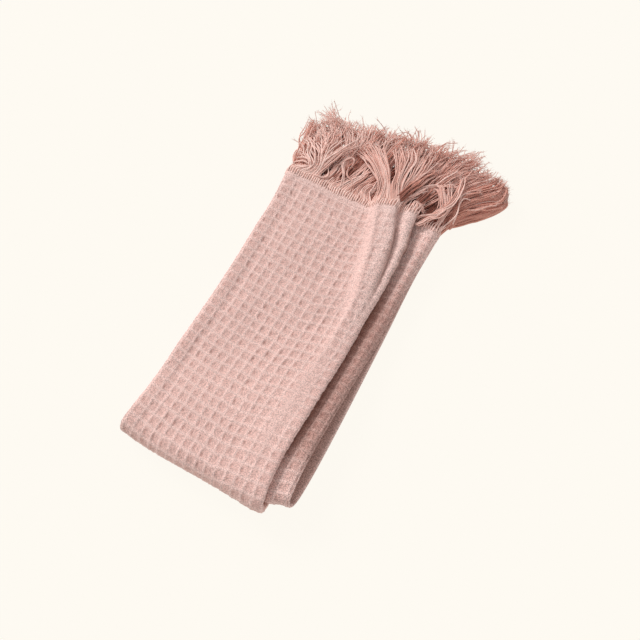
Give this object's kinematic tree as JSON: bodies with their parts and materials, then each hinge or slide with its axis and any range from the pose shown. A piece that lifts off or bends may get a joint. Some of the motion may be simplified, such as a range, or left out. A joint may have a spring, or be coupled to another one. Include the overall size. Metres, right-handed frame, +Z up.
{
  "type": "hand towel",
  "caption": "Waffle-weave cotton hand towel with fringed ends, folded in thirds lengthwise and doubled crosswise, lying flat with both fringes at one end.",
  "frame": {"origin": "middle of the base of the towel's bounding box, fringe included, on the surface that the towel lies on", "axes": "+Y along the folded towel from the doubled end towards the fringe, +X across it towards the margin that stands out past the right fold, +Z up"},
  "size_m": [0.1538, 0.2834, 0.0207],
  "materials": {
    "waffle_cotton": "matt dusty pink waffle-weave cotton",
    "fringe_cotton": "matt dusty pink twisted cotton yarn"
  },
  "bodies": {
    "root": {"towel_cloth": "waffle_cotton", "fringe_upper": "fringe_cotton", "fringe_lower": "fringe_cotton"}
  },
  "joints": []
}
